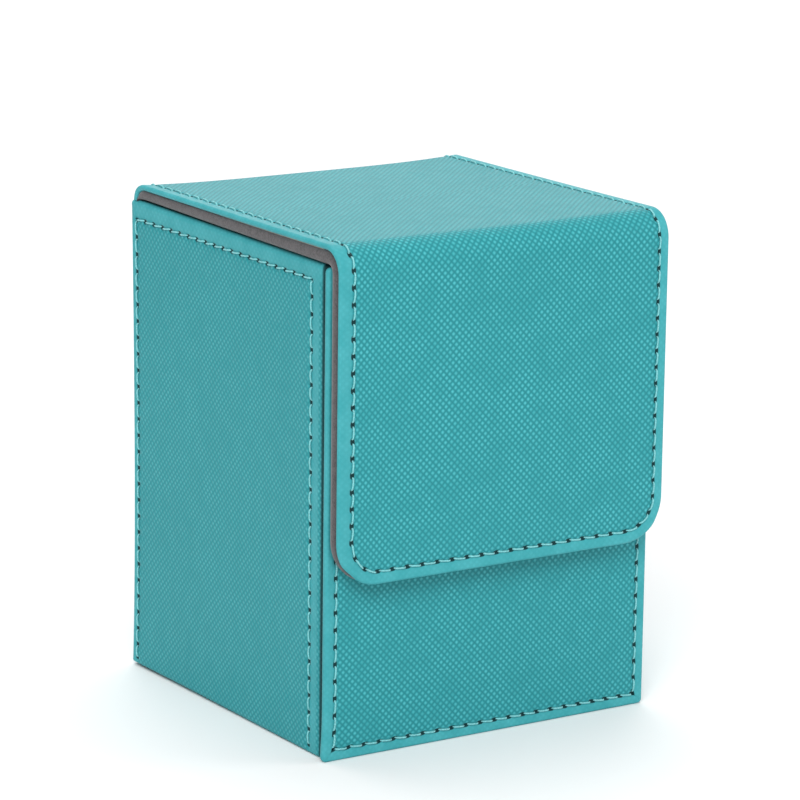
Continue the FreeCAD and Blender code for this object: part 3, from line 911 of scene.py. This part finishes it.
def tray_profile():
    """The tray leather in section, from the foot up and over the rim, as insets and heights."""
    rows = np.concatenate([ARCH_Z, [SIDE_SEAM_TOP - BESIDE_SEAM[0]], SIDE_SEAM_TOP + BESIDE_SEAM,
                           [0.8, 1.1]])
    profile = [(0.8, 0.25), (0.45, 0.22), (0.2, 0.28), (0.06, 0.45)]
    profile += [(0.0, z) for z in np.sort(rows)] + [(0.0, 95.4), (0.0, 96.0)]
    for turn in quarter(8):
        profile.append((RIM_ROUND * (1 - math.cos(turn)),
                        TRAY_TOP - RIM_ROUND + RIM_ROUND * math.sin(turn)))
    profile += [(1.6, TRAY_TOP), (2.0, TRAY_TOP - 0.05), (2.3, TRAY_TOP - 0.25),
                (FOLD, TRAY_TOP - 0.6), (FOLD, TRAY_TOP - 4), (0.8, TRAY_TOP - 4.4),
                (0.8, TRAY_TOP / 2)]
    return profile


def tray_leather():
    """The leather round the tray, turned in over its rim, with a stitched arch on each side."""
    sheet = Sheet()
    ring = tray_ring(FRONT_CORNER, REAR_CORNER, LEATHER_BACK)
    _, ring_y, across, along, radius, side = ring.T
    profile = tray_profile()
    walked = np.append(0, np.cumsum(np.hypot(*np.diff(np.array(profile), axis=0).T)))
    x, y = inset_ring(ring, 0, LEATHER_BACK)
    travelled = np.append(0, np.cumsum(np.hypot(np.diff(x), np.diff(y))))
    nowhere = np.full(len(ring), 99.0)

    behind = (along > 0.7) & (side == 0)
    turned = np.clip((along - 0.5) / 0.5, 0, 1) ** 2
    # Painted shade in the crease where each front corner of the tray turns in behind the front
    # panel. It darkens the colour only; the leather is not dented for it.
    painted_crease_shade = np.where(radius == FRONT_CORNER, np.clip(-along / 0.45, 0, 1) ** 1.2, 0) * 0.5
    on_side = (side != 0) & (radius == 0)
    column_y = np.where(on_side, ring_y, np.where(radius == FRONT_CORNER, TRAY_FRONT, LEATHER_BACK))
    under_arch = (column_y > SIDE_SEAM_FRONT - 0.01) & (column_y < SIDE_SEAM_REAR + 0.01)
    from_upright = np.minimum(np.abs(column_y - SIDE_SEAM_FRONT), np.abs(column_y - SIDE_SEAM_REAR))
    row_marks = dict(zip(rounded(ARCH_Z), hole_marks(len(ARCH_Z))))
    column_marks = dict(zip(rounded(ARCH_Y), hole_marks(len(ARCH_Y))))
    level_marks = np.array([column_marks.get(v, 0) for v in rounded(column_y)])

    first = last = None
    for (inset, z), length in zip(profile, walked):
        x, y = inset_ring(ring, inset, LEATHER_BACK)
        y = np.where(behind, np.maximum(y, TRAY_BACK), y)
        inner = np.minimum.reduce([column_y - SIDE_SEAM_FRONT, SIDE_SEAM_REAR - column_y,
                                   np.full(len(ring), SIDE_SEAM_TOP - z)])
        edge = np.where(side != 0, inner + SEAM, SEAM + 3)
        edge = np.maximum(edge, np.minimum(SEAM + 3 - 1.1 * (column_y - TRAY_FRONT),
                                           SIDE_SEAM_TOP - z + SEAM))
        height, hole = np.zeros(len(ring)), painted_crease_shade
        if inset == 0 and z > 0.5:
            upright = from_upright if z < SIDE_SEAM_TOP + 0.01 else nowhere
            level = np.where(under_arch, abs(z - SIDE_SEAM_TOP), nowhere)
            height = np.where(on_side, channel(np.minimum(upright, level)), 0)
            beside = row_marks.get(rounded([z])[0], 0) * np.exp(-(upright / HOLE_WIDTH) ** 2)
            beside_top = level_marks * np.exp(-(level / HOLE_WIDTH) ** 2)
            hole = np.maximum(beside, beside_top) * on_side + painted_crease_shade
        drawn = np.where(side != 0, wall_bow(z, column_y), 0) * (across ** 2)
        out = height - (hole - painted_crease_shade) * HOLE_DEPTH - drawn
        lowered = (TRAY_TOP - BACK_RIM) * np.clip((z - 90) / (TRAY_TOP - 90), 0, 1)
        raised = np.where(side != 0, side_lift(z, column_y), 0) * (1 - turned) - lowered * turned
        points = np.stack([x + across * out, y + along * out, z + raised], 1)
        grain = np.stack([travelled, np.full(len(ring), length), edge], 1)
        numbers = sheet.add(points, grain, hole)
        if last is None:
            first = numbers
        else:
            sheet.strip(last, numbers, closed=True)
        last = numbers
    sheet.strip(last, first, closed=True)
    return sheet.finish("tray_leather", TRAY_LEATHER)


tray = tray_leather()
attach(tray, "box")
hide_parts("left_side_cover", "right_side_cover")


def side_place(sign):
    """Flat points on a side of the tray: u is the depth from front to back, s the height."""
    def place(u, s, h):
        u, s, h = np.broadcast_arrays(u, s, h)
        return np.stack([sign * (TRAY_HALF + h - wall_bow(s, u)), u, s + side_lift(s, u)], -1)
    return place


for sign, word in ((-1, "left"), (1, "right")):
    runs = [np.stack([np.full(len(ARCH_Z), SIDE_SEAM_FRONT), ARCH_Z], 1),
            np.stack([ARCH_Y, np.full(len(ARCH_Y), SIDE_SEAM_TOP)], 1),
            np.stack([np.full(len(ARCH_Z), SIDE_SEAM_REAR), ARCH_Z], 1)[::-1]]
    thread = thread_sheet(f"{word}_side_stitching", runs, side_place(sign), THREAD, seed=20 + sign)
    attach(thread, "box")
    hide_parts(f"{word}_side_thread")


def tray_lining():
    """One microfibre lining: up its hidden side, over the rim, down the walls, across the floor."""
    sheet = Sheet()
    ring = tray_ring(LINING_CORNER, LINING_CORNER, LINING_BACK)
    behind = (ring[:, 3] > 0.99) & (ring[:, 5] == 0)
    top, floor = TRAY_TOP, limits("base_lining")[1][2]
    profile = [(26.0, floor - 0.55), (2.44, floor - 0.55), (2.44, top - 0.55), (2.47, top - 0.3),
               (2.56, top - 0.12), (2.7, top - 0.05), (2.86, top - 0.1), (2.97, top - 0.25),
               (3.0, top - 0.5)]
    profile += [(3.0, z) for z in np.linspace(top - 4, floor + 4, 24)] + [(3.0, floor + 1.2)]
    for turn in quarter(5):
        profile.append((3.0 + 0.6 * (1 - math.cos(turn)), floor + 0.6 - 0.6 * math.sin(turn)))
    profile += [(inset, floor) for inset in (5.0, 9.0, 16.0, 26.0)]
    last = None
    for inset, z in profile:
        x, y = inset_ring(ring, inset, LINING_BACK)
        height = np.full(len(x), z)
        if z > top - 1:
            over_board = behind & (inset < 2.8)
            y = np.where(over_board, STRAP_FRONT - 0.1 * (2.8 - inset), y)
            height = np.where(behind, np.minimum(height, BACK_RIM + 0.25), height)
        numbers = sheet.add(np.stack([x, y, height], 1), np.stack([x, y, height], 1))
        if last is not None:
            sheet.strip(last, numbers, closed=True)
        last = numbers
    return sheet.finish("tray_lining", SUEDE, 60)


lining = tray_lining()
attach(lining, "box")
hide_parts("base_lining", "left_lining", "right_lining", "front_lining", "back_lining")


# ------------------------------------------------------- the frame nodes that stay

for name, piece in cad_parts.items():
    if piece.hide_render:
        continue
    if name.endswith("board"):
        material = BOARD
    elif name.endswith("foam"):
        material = FOAM
    elif name.endswith("magnets"):
        material = PLATING
    else:
        material = BASE_LEATHER
    piece.data.materials.clear()
    piece.data.materials.append(material)


# ------------------------------------------------------------ floor, light, camera

FLOOR = bpy.data.materials.new("pale_floor")
FLOOR.use_nodes = True
FLOOR.node_tree.nodes["Principled BSDF"].inputs["Base Color"].default_value = (0.96, 0.96, 0.96, 1)
FLOOR.node_tree.nodes["Principled BSDF"].inputs["Roughness"].default_value = 0.9
floor_mesh = bpy.data.meshes.new("floor")
floor_mesh.from_pydata([(-4, -4, 0), (4, -4, 0), (4, 4, 0), (-4, 4, 0)], [], [(0, 1, 2, 3)])
floor_mesh.materials.append(FLOOR)
floor = bpy.data.objects.new("floor", floor_mesh)
bpy.context.scene.collection.objects.link(floor)

world = bpy.data.worlds.new("studio")
bpy.context.scene.world = world
world.use_nodes = True
world.node_tree.nodes["Background"].inputs["Color"].default_value = (1, 1, 1, 1)
world.node_tree.nodes["Background"].inputs["Strength"].default_value = 0.45


def softbox(name, where, towards, width, energy):
    data = bpy.data.lights.new(name, "AREA")
    data.shape, data.size, data.energy = "DISK", width, energy
    lamp = bpy.data.objects.new(name, data)
    bpy.context.scene.collection.objects.link(lamp)
    lamp.location = where
    lamp.rotation_euler = (Vector(towards) - Vector(where)).to_track_quat("-Z", "Y").to_euler()


softbox("key", (-0.7, -0.87, 1.0), (0, 0, 0.05), 0.8, 13)
softbox("fill", (1.2, -0.7, 0.7), (0, 0, 0.05), 0.8, 4)
softbox("top", (0.1, 0.4, 1.3), (0, 0, 0.05), 1.0, 7)
softbox("behind", (0.8, 1.25, 0.55), (0, 0, 0.1), 1.2, 4.2)

camera_data = bpy.data.cameras.new("camera")
camera_data.lens, camera_data.sensor_width = 176.97, 36
camera_data.clip_start, camera_data.clip_end = 0.05, 20
camera = bpy.data.objects.new("camera", camera_data)
bpy.context.scene.collection.objects.link(camera)
camera.matrix_world = Matrix((
    (0.84114, 0.11353, -0.52878, -0.41948),
    (-0.54068, 0.19935, -0.81728, -0.65019),
    (0.01262, 0.97336, 0.22906, 0.24253),
    (0, 0, 0, 1),
))
bpy.context.scene.camera = camera
bpy.context.scene.view_settings.view_transform = "Standard"
